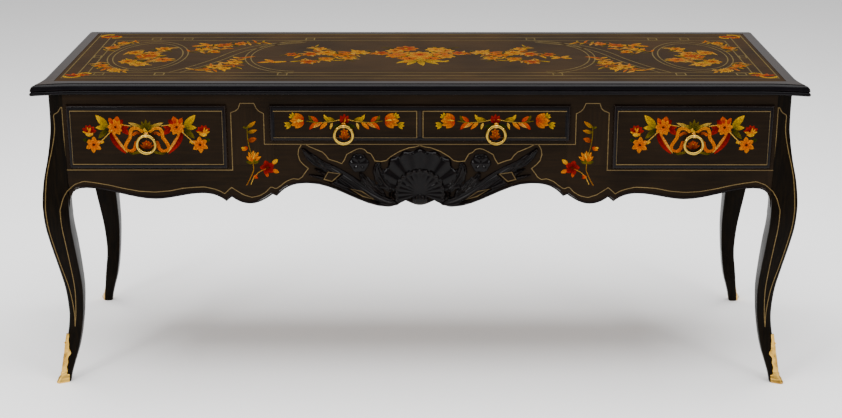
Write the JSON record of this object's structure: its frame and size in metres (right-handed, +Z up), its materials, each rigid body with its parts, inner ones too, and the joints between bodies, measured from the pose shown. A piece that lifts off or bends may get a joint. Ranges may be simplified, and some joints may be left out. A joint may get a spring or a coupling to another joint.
{
  "type": "bureau plat",
  "caption": "Bureau plat in near-black lacquer with inlaid stringing and flowers, frieze drawers with brass ring pulls, a carved shell apron and cabriole legs with gilt feet.",
  "frame": {"origin": "on the floor, under the centre of the top", "axes": "+X along the length to a viewer's right, front (drawers) towards -Y, +Z up"},
  "size_m": [1.8182, 0.63, 0.76],
  "materials": {
    "lacquer": "semi-gloss near-black lacquer with inlaid lines",
    "top_lacquer": "semi-gloss brown-black lacquer",
    "moulding_black": "gloss black lacquer",
    "carved_black": "semi-gloss black lacquer on carved timber",
    "gilt": "gilt, lightly worn",
    "ring_brass": "polished pale brass",
    "case_timber": "unfinished pale timber",
    "screw_steel": "plain"
  },
  "bodies": {
    "frame": {"top_panel": "top_lacquer", "edge_moulding_front": "moulding_black", "edge_moulding_left": "moulding_black", "edge_moulding_right": "moulding_black", "edge_moulding_back": "moulding_black", "front_top_rail": "lacquer", "front_apron": "lacquer", "front_stile_left": "lacquer", "front_stile_right": "lacquer", "apron_beading": "lacquer", "shell_carving": "carved_black", "side_apron_left": "lacquer", "side_apron_right": "lacquer", "back_apron": "lacquer", "leg_front_left": "lacquer", "leg_front_right": "lacquer", "leg_back_left": "lacquer", "leg_back_right": "lacquer", "sabot_front_left": "gilt", "sabot_front_right": "gilt", "sabot_back_left": "gilt", "sabot_back_right": "gilt", "sabot_screws": "gilt", "partition_left": "case_timber", "partition_right": "case_timber", "runners_left": "case_timber", "runners_centre": "case_timber", "runners_right": "case_timber", "kickers": "case_timber", "corner_blocks": "case_timber", "top_screws": "screw_steel"},
    "drawer_left": {"drawer_left_front": "lacquer", "drawer_left_side_left": "case_timber", "drawer_left_side_right": "case_timber", "drawer_left_back": "case_timber", "drawer_left_bottom": "case_timber", "eye_post_left": "gilt"},
    "drawer_centre": {"drawer_centre_front": "lacquer", "drawer_centre_side_left": "case_timber", "drawer_centre_side_right": "case_timber", "drawer_centre_back": "case_timber", "drawer_centre_bottom": "case_timber", "eye_post_centre_left": "gilt", "eye_post_centre_right": "gilt"},
    "drawer_right": {"drawer_right_front": "lacquer", "drawer_right_side_left": "case_timber", "drawer_right_side_right": "case_timber", "drawer_right_back": "case_timber", "drawer_right_bottom": "case_timber", "eye_post_right": "gilt"},
    "ring_left": {"ring_left": "ring_brass"},
    "ring_centre_left": {"ring_centre_left": "ring_brass"},
    "ring_centre_right": {"ring_centre_right": "ring_brass"},
    "ring_right": {"ring_right": "ring_brass"}
  },
  "joints": [
    {"name": "drawer_left_slide", "type": "slide", "parent": "frame", "child": "drawer_left", "axis": [0, -1, 0], "range_m": [0, 0.3]},
    {"name": "drawer_centre_slide", "type": "slide", "parent": "frame", "child": "drawer_centre", "axis": [0, -1, 0], "range_m": [0, 0.3]},
    {"name": "drawer_right_slide", "type": "slide", "parent": "frame", "child": "drawer_right", "axis": [0, -1, 0], "range_m": [0, 0.3]},
    {"name": "ring_left_swing", "type": "hinge", "parent": "drawer_left", "child": "ring_left", "pos_m": [-0.6465, -0.294, 0.6345], "axis": [-1, 0, 0], "range_deg": [-6, 175]},
    {"name": "ring_centre_left_swing", "type": "hinge", "parent": "drawer_centre", "child": "ring_centre_left", "pos_m": [-0.18, -0.294, 0.658], "axis": [-1, 0, 0], "range_deg": [-6, 175]},
    {"name": "ring_centre_right_swing", "type": "hinge", "parent": "drawer_centre", "child": "ring_centre_right", "pos_m": [0.18, -0.294, 0.658], "axis": [-1, 0, 0], "range_deg": [-6, 175]},
    {"name": "ring_right_swing", "type": "hinge", "parent": "drawer_right", "child": "ring_right", "pos_m": [0.6465, -0.294, 0.6345], "axis": [-1, 0, 0], "range_deg": [-6, 175]}
  ]
}
